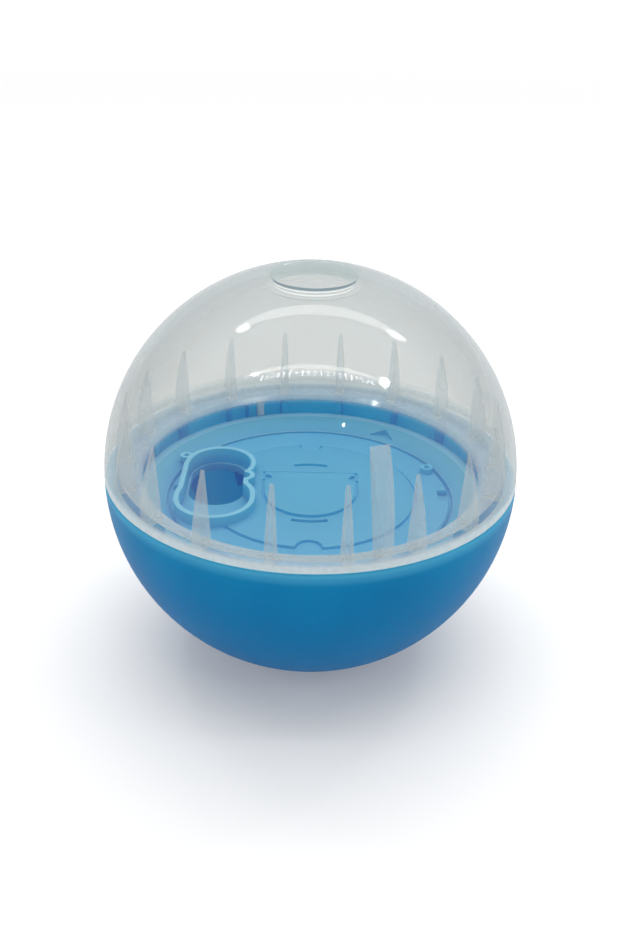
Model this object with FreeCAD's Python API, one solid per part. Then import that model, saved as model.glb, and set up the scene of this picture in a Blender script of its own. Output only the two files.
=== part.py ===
import FreeCAD, Part
import os
from math import asin, sin, sqrt
from FreeCAD import Vector

# Treat ball: a clear dome plugs into a blue bowl, and a partition with a turning selector
# lies between them. Sizes are in millimetres. The source works in the ball's own frame:
# the origin is the ball's centre, +Z runs up to the treat hole and -Y is the front.
# Azimuths run from the front, -Y, towards +X. The finished pieces are raised at the end,
# so that the flat foot stands on z = 0.

# Ball
BALL_RADIUS = 40.0
FOOT_RADIUS = 8.0
SEAM_HEIGHT = 0.8
SEAM_GAP = 0.15

# Clear dome
DOME_WALL = 2.0
HOLE_OUTER_RADIUS = 8.0
HOLE_INNER_RADIUS = 7.1
HOLE_CHAMFER = 0.6
HOLE_NECK_DEPTH = 2.6
HOLE_NECK_WALL = 1.6
RIB_COUNT = 18
RIB_HEIGHT = 14.2
RIB_DEPTH = 3.3
RIB_DRAFT = 0.7
RIB_FOOT_THICKNESS = 1.7
RIB_TIP_THICKNESS = 0.8
LEDGE_TOP = 0.6
LEDGE_THICKNESS = 1.4
LEDGE_WIDTH = 2.2
CORNER_RISE = 2.4
SKIRT_SETBACK = 3.85
SKIRT_WALL = 1.2
SKIRT_DEPTH = 3.0
SKIRT_CHAMFER = 0.8
PLUG_FIT = 0.15
KEY_AZIMUTHS = (20.0, -160.0)
KEY_WIDTH = 1.4
KEY_REACH = 1.1
BAR_AZIMUTH = 20.0
BAR_DEPTH = 5.8
BAR_LEAN = 1.8
BAR_FOOT_WIDTH = 1.8
BAR_TIP_WIDTH = 3.6

# Blue bowl
BOWL_WALL = 2.0
RIM_CHAMFER = 0.9
BOWL_RIB_THICKNESS = 1.4
RIB_SHELF_FIT = 0.2
RIB_TOP_GAP = 0.15
SOCKET_FIT = 0.15
KEY_SOCKET_WALL = 1.6
KEY_FIT = 0.2

# Partition
PARTITION_WALL = 1.8
BORDER_FIT = 0.25
BORDER_LAND = 1.9
BORDER_SLOPE = 3.5
BORDER_DROP = 2.1
SKIRT_GAP = 0.3
PORT_OFFSET = -0.4
PORT_HALF_WIDTH = 5.7
PORT_FAR_Y = 14.4
PORT_NEAR_Y = -3.6
HUB_INSET = 17.3
LIFT_NOTCH_AZIMUTH = 148.0
LIFT_NOTCH_WIDTH = 5.8
LIFT_NOTCH_DEPTH = 3.0
LIFT_NOTCH_RISE = 0.3

# Selector
SELECTOR_EDGE_FIT = 0.7
SELECTOR_THICKNESS = 1.0
SELECTOR_CHAMFER = 0.3
SELECTOR_GAP = 0.15
PLATEAU_INSET = 7.0
PLATEAU_RISE = 0.3
BITE_RADIUS = 2.6
GROOVE_WIDTH = 0.5
GROOVE_DEPTH = 0.35
EDGE_NOTCH_WIDTH = 4.3
EDGE_NOTCH_DEPTH = 2.2
PAD_RISE = 0.25
PAD_HALF_WIDTH = 9.1
PAD_TOP_Y = 7.6
PAD_STRETCH = 0.5
PAD_NICK_RADIUS = 1.2
PAD_NICK_Y = 5.4
PAD_GROOVE_WIDTH = 0.7
PAD_GROOVE_DEPTH = 0.35
COLLAR_RISE = 1.9
COLLAR_WALL = 1.0
LOBE_INSET = 9.2
ARCH_RADIUS = 6.3
ARCH_CENTRE_Y = 8.3
WAIST_LEFT = 6.5
WAIST_RIGHT = 5.2
WAIST_NOTCH_RADIUS = 1.2
WAIST_NOTCH_Y = 3.1
LOBE_HALF_WIDTH = 6.9
LOBE_STRAIGHT = 1.4
LOBE_NEAR_Y = -13.2
LUG_RADIUS = 1.3
LUG_HOLE_RADIUS = 0.6
LUG_HEIGHT = 1.2
LUG_OFFSET = 7.4
LUG_Y = 11.4
TWIN_LUG_AZIMUTH = 112.4
TWIN_LUG_INSET = 1.6
TWIN_LUG_RISE = 1.2
HUB_FIT = 0.08
HUB_WALL = 1.5
HOOK_GAP = 0.2
HOOK_BARB = 0.9
HOOK_LENGTH = 1.6
HOOK_SPAN = 35.0
WINDOW_WIDTH = 1.0

# Worked-out heights and radii, from the ball's centre
CENTRE_HEIGHT = sqrt(BALL_RADIUS**2 - FOOT_RADIUS**2)
DOME_INNER = BALL_RADIUS - DOME_WALL
BOWL_INNER = BALL_RADIUS - BOWL_WALL
DOME_EDGE = SEAM_HEIGHT + SEAM_GAP
PLUG_RADIUS = BOWL_INNER - PLUG_FIT
LEDGE_BOTTOM = LEDGE_TOP - LEDGE_THICKNESS
SKIRT_OUTER_RADIUS = PLUG_RADIUS - SKIRT_SETBACK
SKIRT_INNER_RADIUS = SKIRT_OUTER_RADIUS - SKIRT_WALL
SKIRT_BOTTOM = LEDGE_BOTTOM - SKIRT_DEPTH
SOCKET_RADIUS = SKIRT_OUTER_RADIUS + SOCKET_FIT
BORDER_RADIUS = SOCKET_RADIUS - BORDER_FIT
BORDER_TOP = SKIRT_BOTTOM - SKIRT_GAP
BORDER_BOTTOM = BORDER_TOP - PARTITION_WALL
RECESS_RADIUS = BORDER_RADIUS - BORDER_LAND - BORDER_SLOPE
HUB_HOLE_RADIUS = RECESS_RADIUS - HUB_INSET
SELECTOR_RADIUS = RECESS_RADIUS - SELECTOR_EDGE_FIT
PLATEAU_RADIUS = SELECTOR_RADIUS - PLATEAU_INSET
LOBE_CENTRE_X = LOBE_INSET - SELECTOR_RADIUS
LUG_X = LOBE_CENTRE_X - LUG_OFFSET
LOBE_FAR_Y = LOBE_NEAR_Y + 2 * LOBE_HALF_WIDTH + LOBE_STRAIGHT
PORT_CENTRE_X = LOBE_CENTRE_X + PORT_OFFSET
PAD_FRONT = PAD_HALF_WIDTH + PAD_STRETCH
SELECTOR_TOP = BORDER_TOP - BORDER_DROP
SELECTOR_BOTTOM = SELECTOR_TOP - SELECTOR_THICKNESS
FLOOR_TOP = SELECTOR_BOTTOM - SELECTOR_GAP
FLOOR_BOTTOM = FLOOR_TOP - PARTITION_WALL
PLATEAU_TOP = SELECTOR_TOP + PLATEAU_RISE
COLLAR_TOP = PLATEAU_TOP + COLLAR_RISE
RIB_PITCH = 360.0 / RIB_COUNT
AXIS = Vector(0, 0, 1)
ORIGIN = Vector(0, 0, 0)


def on_sphere(radius, height):
    """Distance from the axis of a sphere's surface at a height."""
    return sqrt(radius**2 - height**2)


def sphere_arc(radius, low, high):
    """Arc of a sphere's section between two heights, in the XZ half plane."""
    middle = radius * sin((asin(low / radius) + asin(high / radius)) / 2)
    points = [Vector(on_sphere(radius, z), 0, z) for z in (low, middle, high)]
    return Part.Arc(*points).toShape()


def path(points):
    """Straight edges through points given as distance from the axis and height."""
    corners = [Vector(r, 0, z) for r, z in points]
    return [Part.LineSegment(a, b).toShape() for a, b in zip(corners, corners[1:])]


def turned(edges, angle=360.0):
    """Solid made by turning a closed section about the ball's axis."""
    face = Part.Face(Part.Wire(Part.sortEdges(edges)[0]))
    return face.revolve(ORIGIN, AXIS, angle)


def turned_polygon(points, angle=360.0):
    """Solid made by turning a closed section of straight edges."""
    return turned(path(points + points[:1]), angle)


def box(x0, x1, y0, y1, z0, z1):
    """Box between two corners."""
    return Part.makeBox(x1 - x0, y1 - y0, z1 - z0, Vector(x0, y0, z0))


def cylinder(radius, z0, z1, x=0.0, y=0.0):
    """Upright cylinder between two heights."""
    return Part.makeCylinder(radius, z1 - z0, Vector(x, y, z0))


def placed(shape, azimuth):
    """Copy of a shape drawn along +X, turned to an azimuth."""
    copy = shape.copy()
    copy.rotate(ORIGIN, AXIS, azimuth - 90.0)
    return copy


def tapered_blade(low, high):
    """Loft between two sections, each (height, inner radius, outer radius, thickness)."""
    wires = []
    for z, inner, outer, thickness in (low, high):
        half = thickness / 2
        corners = [Vector(inner, -half, z), Vector(outer, -half, z)]
        corners += [Vector(outer, half, z), Vector(inner, half, z)]
        wires.append(Part.makePolygon(corners + corners[:1]))
    return Part.makeLoft(wires, True, True)


def rib_azimuths():
    """Azimuths of the ribs, set so that the front lies midway between two."""
    return [RIB_PITCH * (i + 0.5) for i in range(RIB_COUNT)]


def dome_shell():
    """Clear wall with the treat hole, the corner at the seam, the ledge and the skirt."""
    hole_top = on_sphere(BALL_RADIUS, HOLE_OUTER_RADIUS)
    neck_outer = HOLE_INNER_RADIUS + HOLE_NECK_WALL
    neck_bottom = hole_top - HOLE_NECK_DEPTH
    neck_root = on_sphere(DOME_INNER, neck_outer)
    corner_top = LEDGE_TOP + CORNER_RISE
    ledge_outer = SKIRT_OUTER_RADIUS + LEDGE_WIDTH
    lip_radius = HOLE_OUTER_RADIUS + HOLE_CHAMFER
    lip_height = on_sphere(BALL_RADIUS, lip_radius)
    hole = path([
        (lip_radius, lip_height),
        (HOLE_OUTER_RADIUS, hole_top - HOLE_CHAMFER),
        (HOLE_INNER_RADIUS, neck_bottom),
        (neck_outer, neck_bottom),
        (neck_outer, neck_root),
    ])
    foot = path([
        (on_sphere(DOME_INNER, corner_top), corner_top),
        (ledge_outer, LEDGE_TOP),
        (SKIRT_INNER_RADIUS + SKIRT_CHAMFER, LEDGE_TOP),
        (SKIRT_INNER_RADIUS, LEDGE_TOP - SKIRT_CHAMFER),
        (SKIRT_INNER_RADIUS, SKIRT_BOTTOM),
        (SKIRT_OUTER_RADIUS, SKIRT_BOTTOM),
        (SKIRT_OUTER_RADIUS, LEDGE_BOTTOM),
        (PLUG_RADIUS, LEDGE_BOTTOM),
        (PLUG_RADIUS, DOME_EDGE),
        (on_sphere(BALL_RADIUS, DOME_EDGE), DOME_EDGE),
    ])
    outside = sphere_arc(BALL_RADIUS, DOME_EDGE, lip_height)
    inside = sphere_arc(DOME_INNER, corner_top, neck_root)
    return turned([outside] + hole + [inside] + foot)


def dome_ribs():
    """Gusset ribs between the ledge and the dome's wall, thinner towards the tip."""
    foot_radius = DOME_INNER - RIB_DEPTH
    low = (LEDGE_BOTTOM, foot_radius, PLUG_RADIUS, RIB_FOOT_THICKNESS)
    high = (LEDGE_TOP + RIB_HEIGHT, foot_radius + RIB_DRAFT, PLUG_RADIUS, RIB_TIP_THICKNESS)
    blade = tapered_blade(low, high)
    blades = [placed(blade, azimuth) for azimuth in rib_azimuths()]
    within = Part.makeSphere(DOME_INNER + DOME_WALL / 4)
    return [one.common(within) for one in blades]


def guide_bar():
    """Broad bar inside the dome in line with the front key, leaning in towards its top."""
    inner = DOME_INNER - BAR_DEPTH
    top = on_sphere(DOME_INNER, inner)
    low = (LEDGE_BOTTOM, inner + BAR_LEAN, PLUG_RADIUS, BAR_FOOT_WIDTH)
    high = (top, inner, PLUG_RADIUS, BAR_TIP_WIDTH)
    within = Part.makeSphere(DOME_INNER + DOME_WALL / 4)
    return placed(tapered_blade(low, high).common(within), BAR_AZIMUTH)


def skirt_keys():
    """Two keys on the skirt that drop into the bowl's key sockets."""
    reach = SKIRT_OUTER_RADIUS + KEY_REACH
    half = KEY_WIDTH / 2
    key = box(SKIRT_OUTER_RADIUS - SKIRT_WALL / 2, reach, -half, half, SKIRT_BOTTOM, LEDGE_BOTTOM)
    return [placed(key, azimuth) for azimuth in KEY_AZIMUTHS]


def make_dome():
    """Clear upper half, one moulding."""
    return dome_shell().fuse(dome_ribs() + [guide_bar()] + skirt_keys())


def bowl_shell():
    """Blue wall with a flat foot, a flat inner floor over it and a chamfered rim."""
    floor = BOWL_WALL - CENTRE_HEIGHT
    lip_height = SEAM_HEIGHT - RIM_CHAMFER
    outside = sphere_arc(BALL_RADIUS, -CENTRE_HEIGHT, lip_height)
    inside = sphere_arc(BOWL_INNER, floor, SEAM_HEIGHT)
    rim = path([
        (on_sphere(BALL_RADIUS, lip_height), lip_height),
        (on_sphere(BALL_RADIUS, SEAM_HEIGHT) - RIM_CHAMFER, SEAM_HEIGHT),
        (on_sphere(BOWL_INNER, SEAM_HEIGHT), SEAM_HEIGHT),
    ])
    foot = path([
        (on_sphere(BOWL_INNER, floor), floor),
        (0.0, floor),
        (0.0, -CENTRE_HEIGHT),
        (FOOT_RADIUS, -CENTRE_HEIGHT),
    ])
    return turned([outside] + rim + [inside] + foot)


def bowl_ribs():
    """Stepped ribs: the low step carries the partition, the high one stands under the ledge."""
    shelf = BORDER_RADIUS - BORDER_LAND + RIB_SHELF_FIT
    back = BOWL_INNER + BOWL_WALL / 4
    top = LEDGE_BOTTOM - RIB_TOP_GAP
    low = -on_sphere(back, shelf)
    half = BOWL_RIB_THICKNESS / 2
    corners = [(shelf, low), (shelf, BORDER_BOTTOM), (SOCKET_RADIUS, BORDER_BOTTOM)]
    corners += [(SOCKET_RADIUS, top), (back, top), (back, low)]
    section = Part.Face(Part.makePolygon([Vector(r, -half, z) for r, z in corners + corners[:1]]))
    blade = section.extrude(Vector(0, BOWL_RIB_THICKNESS, 0)).common(Part.makeSphere(back))
    return [placed(blade, azimuth) for azimuth in rib_azimuths()]


def key_sockets():
    """Blocks inside the bowl's wall with an open-topped slot for the skirt's keys."""
    back = BOWL_INNER + BOWL_WALL / 4
    top = LEDGE_BOTTOM - RIB_TOP_GAP
    slot_half = KEY_WIDTH / 2 + KEY_FIT
    slot_end = SKIRT_OUTER_RADIUS + KEY_REACH + KEY_FIT
    half = slot_half + KEY_SOCKET_WALL
    block = box(SOCKET_RADIUS, back, -half, half, BORDER_BOTTOM, top)
    slot = box(SOCKET_RADIUS - 1.0, slot_end, -slot_half, slot_half, BORDER_BOTTOM, top)
    socket = block.cut(slot).common(Part.makeSphere(back))
    return [placed(socket, azimuth) for azimuth in KEY_AZIMUTHS]


def make_bowl():
    """Blue lower half, one moulding."""
    return bowl_shell().fuse(bowl_ribs() + key_sockets())


def slot_prism(centre_x, half_width, near_y, far_y, z0, z1):
    """Upright prism of a slot with round ends along Y."""
    near = near_y + half_width
    far = far_y - half_width
    body = box(centre_x - half_width, centre_x + half_width, near, far, z0, z1)
    ends = [cylinder(half_width, z0, z1, centre_x, y) for y in (near, far)]
    return body.fuse(ends)


def lift_notch():
    """Shallow roof-shaped notch in the border, for a fingernail that lifts the partition."""
    half = LIFT_NOTCH_WIDTH / 2
    inner = RECESS_RADIUS - 1.0
    eaves = RECESS_RADIUS + LIFT_NOTCH_DEPTH / 3
    ridge = RECESS_RADIUS + LIFT_NOTCH_DEPTH
    corners = [(inner, -half), (eaves, -half), (ridge, 0.0), (eaves, half), (inner, half)]
    floor = SELECTOR_TOP + LIFT_NOTCH_RISE
    corners = [Vector(x, y, floor) for x, y in corners]
    outline = Part.Face(Part.makePolygon(corners + corners[:1]))
    return placed(outline.extrude(Vector(0, 0, BORDER_TOP - floor + 1.0)), LIFT_NOTCH_AZIMUTH)


def border_keys():
    """Two tabs on the border that share the bowl's key sockets."""
    half = KEY_WIDTH / 2
    tab = box(BORDER_RADIUS - BORDER_LAND / 2, SKIRT_OUTER_RADIUS + KEY_REACH, -half, half,
              BORDER_BOTTOM, BORDER_TOP)
    return [placed(tab, azimuth) for azimuth in KEY_AZIMUTHS]


def make_partition():
    """Dished plate between the chambers: border, recess and a floor with its port."""
    land = BORDER_RADIUS - BORDER_LAND
    wall = RECESS_RADIUS + PARTITION_WALL
    plate = turned_polygon([
        (HUB_HOLE_RADIUS, FLOOR_TOP),
        (RECESS_RADIUS, FLOOR_TOP),
        (RECESS_RADIUS, SELECTOR_TOP),
        (land, BORDER_TOP),
        (BORDER_RADIUS, BORDER_TOP),
        (BORDER_RADIUS, BORDER_BOTTOM),
        (land, BORDER_BOTTOM),
        (wall, SELECTOR_TOP - PARTITION_WALL),
        (wall, FLOOR_BOTTOM),
        (HUB_HOLE_RADIUS, FLOOR_BOTTOM),
    ])
    port = slot_prism(PORT_CENTRE_X, PORT_HALF_WIDTH, PORT_NEAR_Y, PORT_FAR_Y,
                      FLOOR_BOTTOM - 1.0, FLOOR_TOP + 1.0)
    return plate.cut(port).cut(lift_notch()).fuse(border_keys())


def lobed_prism(grow, z0, z1):
    """Upright prism of the selector's port: an arched lobe, a waist with a notch, a long lobe."""
    arch = cylinder(ARCH_RADIUS + grow, z0, z1, LOBE_CENTRE_X, ARCH_CENTRE_Y)
    right = LOBE_CENTRE_X + WAIST_RIGHT
    neck = box(LOBE_CENTRE_X - WAIST_LEFT - grow, right + grow, LOBE_FAR_Y - LOBE_HALF_WIDTH,
               ARCH_CENTRE_Y, z0, z1)
    lobe = slot_prism(LOBE_CENTRE_X, LOBE_HALF_WIDTH + grow, LOBE_NEAR_Y - grow, LOBE_FAR_Y + grow, z0, z1)
    notch = cylinder(WAIST_NOTCH_RADIUS + grow, z0, z1, right, WAIST_NOTCH_Y)
    return arch.fuse([neck, lobe, notch])


def lug(x, y, low, high):
    """Small round lug with a hole down its middle."""
    return cylinder(LUG_RADIUS, low, high, x, y).cut(cylinder(LUG_HOLE_RADIUS, low, high, x, y))


def plateau_prism(grow, z0, z1):
    """Upright prism of the raised middle, with a round bite at the front and the back."""
    disc = cylinder(PLATEAU_RADIUS + grow, z0, z1)
    bites = [cylinder(BITE_RADIUS - grow, z0, z1, 0.0, y) for y in (PLATEAU_RADIUS, -PLATEAU_RADIUS)]
    return disc.cut(bites)


def pad_prism(grow, z0, z1):
    """Upright prism of the thumb pad: straight at the back with two nicks, oval at the front."""
    half = PAD_HALF_WIDTH + grow
    front = Part.Ellipse(Vector(0, PAD_FRONT + grow, z0), Vector(half, 0, z0), Vector(0, 0, z0))
    oval = Part.Face(Part.Wire(front.toShape())).extrude(Vector(0, 0, z1 - z0))
    oval = oval.common(box(-half, half, -PAD_FRONT - grow, 0.0, z0, z1))
    nicks = [cylinder(PAD_NICK_RADIUS - grow, z0, z1, x, PAD_NICK_Y) for x in (-half, half)]
    return oval.fuse(box(-half, half, 0.0, PAD_TOP_Y + grow, z0, z1)).cut(nicks)


def snap_hooks():
    """Two hooks below the hub that reach under the partition's floor."""
    outer = HUB_HOLE_RADIUS - HUB_FIT
    inner = outer - HUB_WALL
    shoulder = FLOOR_BOTTOM - HOOK_GAP
    end = shoulder - HOOK_LENGTH
    points = [(inner, FLOOR_TOP), (outer, FLOOR_TOP), (outer, shoulder)]
    points += [(outer + HOOK_BARB, shoulder), (outer, end), (inner, end)]
    hook = turned_polygon(points, HOOK_SPAN)
    hook.rotate(ORIGIN, AXIS, -HOOK_SPAN / 2)
    return [placed(hook, azimuth) for azimuth in (0.0, 180.0)]


def hook_windows():
    """Slots through the selector straight above the barbs."""
    inner = HUB_HOLE_RADIUS - HUB_FIT
    low = SELECTOR_BOTTOM - 1.0
    high = PLATEAU_TOP + 1.0
    points = [(inner, low), (inner + WINDOW_WIDTH, low), (inner + WINDOW_WIDTH, high), (inner, high)]
    window = turned_polygon(points, HOOK_SPAN)
    window.rotate(ORIGIN, AXIS, -HOOK_SPAN / 2)
    return [placed(window, azimuth) for azimuth in (0.0, 180.0)]


def selector_disc():
    """Disc with a chamfered edge, two edge notches, the raised middle and the raised pad."""
    rim = SELECTOR_RADIUS - SELECTOR_CHAMFER
    groove_floor = SELECTOR_TOP - GROOVE_DEPTH
    disc = turned_polygon([
        (0.0, SELECTOR_BOTTOM),
        (SELECTOR_RADIUS, SELECTOR_BOTTOM),
        (SELECTOR_RADIUS, SELECTOR_TOP - SELECTOR_CHAMFER),
        (rim, SELECTOR_TOP),
        (0.0, SELECTOR_TOP),
    ])
    disc = disc.cut(plateau_prism(GROOVE_WIDTH, groove_floor, PLATEAU_TOP))
    disc = disc.fuse(plateau_prism(0.0, groove_floor, PLATEAU_TOP))
    pad_low = PLATEAU_TOP - PAD_GROOVE_DEPTH
    disc = disc.cut(pad_prism(PAD_GROOVE_WIDTH, pad_low, PLATEAU_TOP))
    disc = disc.fuse(pad_prism(0.0, pad_low, PLATEAU_TOP + PAD_RISE))
    half = EDGE_NOTCH_WIDTH / 2
    notch = box(SELECTOR_RADIUS - EDGE_NOTCH_DEPTH, SELECTOR_RADIUS, -half, half,
                SELECTOR_BOTTOM, SELECTOR_TOP)
    return disc.cut([placed(notch, side) for side in (90.0, 270.0)])


def make_selector():
    """Disc that turns in the partition's recess, with the collared port and the snap hub."""
    outer = HUB_HOLE_RADIUS - HUB_FIT
    hub = turned_polygon([
        (outer - HUB_WALL, SELECTOR_BOTTOM),
        (outer, SELECTOR_BOTTOM),
        (outer, FLOOR_BOTTOM),
        (outer - HUB_WALL, FLOOR_BOTTOM),
    ])
    collar = lobed_prism(COLLAR_WALL, SELECTOR_BOTTOM, COLLAR_TOP)
    bore = lobed_prism(0.0, SELECTOR_BOTTOM - 1.0, COLLAR_TOP + 1.0)
    side_lug = lug(LUG_X, LUG_Y, COLLAR_TOP - LUG_HEIGHT, COLLAR_TOP)
    twin = lug(SELECTOR_RADIUS - TWIN_LUG_INSET, 0.0, SELECTOR_TOP, SELECTOR_TOP + TWIN_LUG_RISE)
    disc = selector_disc().cut(hook_windows())
    added = [hub, collar, side_lug, placed(twin, TWIN_LUG_AZIMUTH)] + snap_hooks()
    return disc.fuse(added).cut(bore)


def main():
    """Build each piece, raise it onto its foot and write it."""
    os.makedirs("parts", exist_ok=True)
    makers = {
        "dome": make_dome,
        "bowl": make_bowl,
        "partition": make_partition,
        "selector": make_selector,
    }
    for name, make in makers.items():
        shape = make().removeSplitter()
        shape.translate(Vector(0, 0, CENTRE_HEIGHT))
        print(name, "solids", len(shape.Solids), "valid", shape.isValid(),
              "volume", round(shape.Volume, 1), "faces", len(shape.Faces))
        shape.exportStep(os.path.join("parts", name + ".step"))


main()
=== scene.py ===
"""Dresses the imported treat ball: clear dome, blue bowl, dished partition and turning selector."""

import logging
import math
from dataclasses import dataclass, field
from enum import Enum, IntEnum
from typing import Callable, Iterable, Sequence

import bmesh
import bpy
from mathutils import Matrix, Vector


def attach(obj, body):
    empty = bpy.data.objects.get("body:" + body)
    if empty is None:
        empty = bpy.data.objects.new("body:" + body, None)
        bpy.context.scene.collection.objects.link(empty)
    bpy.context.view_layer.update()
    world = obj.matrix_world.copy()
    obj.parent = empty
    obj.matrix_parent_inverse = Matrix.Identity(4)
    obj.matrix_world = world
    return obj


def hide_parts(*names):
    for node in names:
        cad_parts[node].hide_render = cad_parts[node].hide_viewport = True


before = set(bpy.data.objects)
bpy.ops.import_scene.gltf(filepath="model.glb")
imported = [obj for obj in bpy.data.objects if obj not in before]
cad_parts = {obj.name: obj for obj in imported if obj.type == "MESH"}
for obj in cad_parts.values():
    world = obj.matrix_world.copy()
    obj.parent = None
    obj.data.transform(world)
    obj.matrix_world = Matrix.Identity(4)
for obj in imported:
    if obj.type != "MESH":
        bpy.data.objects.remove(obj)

LOG = logging.getLogger("treat_ball")
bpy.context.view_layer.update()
MM = 0.001

# Steps of every turned solid
TURN_STEPS = 180
# Millimetres within which points of a new mesh merge
WELD = 1e-4
# Millimetres within which an edge counts as lying at a place
PICK = 0.01
# Degrees past which an edge of a finished piece stays sharp
SHARP = 35.0
# Degrees past which an edge of a blade can be rounded
BLADE_EDGE = 30.0

Colour = tuple[float, float, float]
Mesh = bmesh.types.BMesh
Range = tuple[float, float]
Section = Sequence[tuple[float, float]]
Socket = bpy.types.NodeSocket
Tree = bpy.types.NodeTree

UNIT: Range = (0.0, 1.0)


class Part(Enum):
    """The ball's four mouldings, named as their CAD nodes and bodies are."""

    DOME = "dome"
    BOWL = "bowl"
    PARTITION = "partition"
    SELECTOR = "selector"


class Slot(Enum):
    """Material slots of the record."""

    CLEAR = "clear_plastic"
    BOWL = "blue_bowl_plastic"
    INSERT = "blue_insert_plastic"


class DomeSkin(IntEnum):
    """Surfaces of the dome's shell, in the order of its materials."""

    WALL = 0
    INSIDE = 1
    LIP = 2
    # The edge carries a painted shade and the neck painted highlights
    EDGE = 3
    NECK = 4


class Seen(Enum):
    """How a lamp shows on the ball."""

    BOTH = "lights and is mirrored"
    NOT_MIRRORED = "lights only"
    ONLY_MIRRORED = "is mirrored only"


@dataclass(frozen=True)
class BallSizes:
    """Sizes in millimetres that the pieces share, measured from the ball's centre."""

    radius: float = 40.0
    foot_radius: float = 8.0
    wall: float = 2.0
    seam: float = 0.8
    seam_gap: float = 0.15
    rib_count: int = 18
    key_azimuths: tuple[float, float] = (20.0, -160.0)

    @property
    def centre(self) -> float:
        """Height of the ball's centre above the foot."""
        return math.sqrt(self.radius**2 - self.foot_radius**2)

    @property
    def inner(self) -> float:
        """Radius of the inside of both walls."""
        return self.radius - self.wall

    def rib_azimuths(self) -> list[float]:
        """Azimuths of the ribs, set so that the front lies midway between two."""
        return [360.0 / self.rib_count * (i + 0.5) for i in range(self.rib_count)]

    def middle(self) -> Vector:
        """The ball's centre in metres."""
        return Vector((0, 0, self.centre * MM))

    def raised(self, height: float) -> float:
        """Turns a height above the ball's centre in millimetres to one above the foot in metres."""
        return (self.centre + height) * MM


BALL = BallSizes()


def on_sphere(radius: float, height: float) -> float:
    """Distance from the axis of a sphere's surface at a height."""
    return math.sqrt(radius**2 - height**2)


def sphere_points(radius: float, low: float, high: float, count: int) -> list[tuple[float, float]]:
    """Points of a sphere's section between two heights, evenly spaced by angle.

    Args:
        radius: The sphere's radius in millimetres.
        low: Height of the first point.
        high: Height of the last point.
        count: Number of points.

    Returns:
        The points as distance from the axis and height.
    """
    start, end = math.asin(low / radius), math.asin(high / radius)
    angles = [start + (end - start) * i / (count - 1) for i in range(count)]
    return [(radius * math.cos(a), radius * math.sin(a)) for a in angles]


def rounded(mesh: Mesh, edges: Iterable[bmesh.types.BMEdge], size: float,
            segments: int = 3) -> list[bmesh.types.BMFace]:
    """Rounds edges of a mesh.

    Args:
        mesh: The mesh that has the edges.
        edges: The edges to round.
        size: Size of the round, in the mesh's own unit.
        segments: Number of steps across the round.

    Returns:
        The faces of the rounds.
    """
    made = bmesh.ops.bevel(
        mesh, geom=list(edges), offset=size, offset_type="OFFSET", segments=segments,
        profile=0.5, affect="EDGES", material=-1, clamp_overlap=True,
    )
    return made["faces"]


def extruded(corners: Iterable[tuple[float, float, float]]) -> tuple[Mesh, list[bmesh.types.BMVert]]:
    """Face through some corners, extruded in place.

    Args:
        corners: The corners in millimetres, in order round the face.

    Returns:
        The mesh, and the points of its far face, which are still to be moved away.
    """
    mesh = bmesh.new()
    face = mesh.faces.new([mesh.verts.new(corner) for corner in corners])
    moved = bmesh.ops.extrude_face_region(mesh, geom=[face])["geom"]
    return mesh, [v for v in moved if isinstance(v, bmesh.types.BMVert)]


def stood(mesh: Mesh, azimuth: float) -> Mesh:
    """Turns a mesh drawn along +X to its azimuth, counted from the front towards +X in degrees."""
    turn = Matrix.Rotation(math.radians(azimuth - 90.0), 4, "Z")
    bmesh.ops.transform(mesh, matrix=turn, verts=mesh.verts[:])
    return mesh


def blade(outline: Section, thickness: Callable[[float], float], azimuth: float,
          size: float, keep: Callable[[Vector], bool]) -> Mesh:
    """Upright blade with its outline in a plane through the ball's axis.

    Args:
        outline: Points as distance from the axis and height, in millimetres.
        thickness: Gives the thickness at a height.
        azimuth: Where the blade stands, from the front towards +X, in degrees.
        size: Size of the round on the free edges.
        keep: Says of a point whether edges there are free and get the round.

    Returns:
        The blade's mesh, in millimetres.
    """
    mesh, far = extruded((r, 0.0, z) for r, z in outline)
    for vert in mesh.verts:
        vert.co.y = -thickness(vert.co.z) / 2
    for vert in far:
        vert.co.y = thickness(vert.co.z) / 2
    bmesh.ops.recalc_face_normals(mesh, faces=mesh.faces[:])
    free = [e for e in mesh.edges if all(keep(v.co) for v in e.verts)
            and e.calc_face_angle(0.0) > math.radians(BLADE_EDGE)]
    rounded(mesh, free, size)
    return stood(mesh, azimuth)


def prism(outline: Section, low: float, high: float, azimuth: float, size: float) -> Mesh:
    """Upright prism over an outline drawn in plan along +X.

    Args:
        outline: Points as distance along and across, in millimetres.
        low: Height of its bottom.
        high: Height of its top.
        azimuth: Where it stands, from the front towards +X, in degrees.
        size: Size of the round on its top edges.

    Returns:
        The prism's mesh, in millimetres.
    """
    mesh, top = extruded((x, y, low) for x, y in outline)
    bmesh.ops.translate(mesh, verts=top, vec=(0, 0, high - low))
    bmesh.ops.recalc_face_normals(mesh, faces=mesh.faces[:])
    rounded(mesh, [e for e in mesh.edges if all(v.co.z > high - PICK for v in e.verts)], size)
    return stood(mesh, azimuth)


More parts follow.
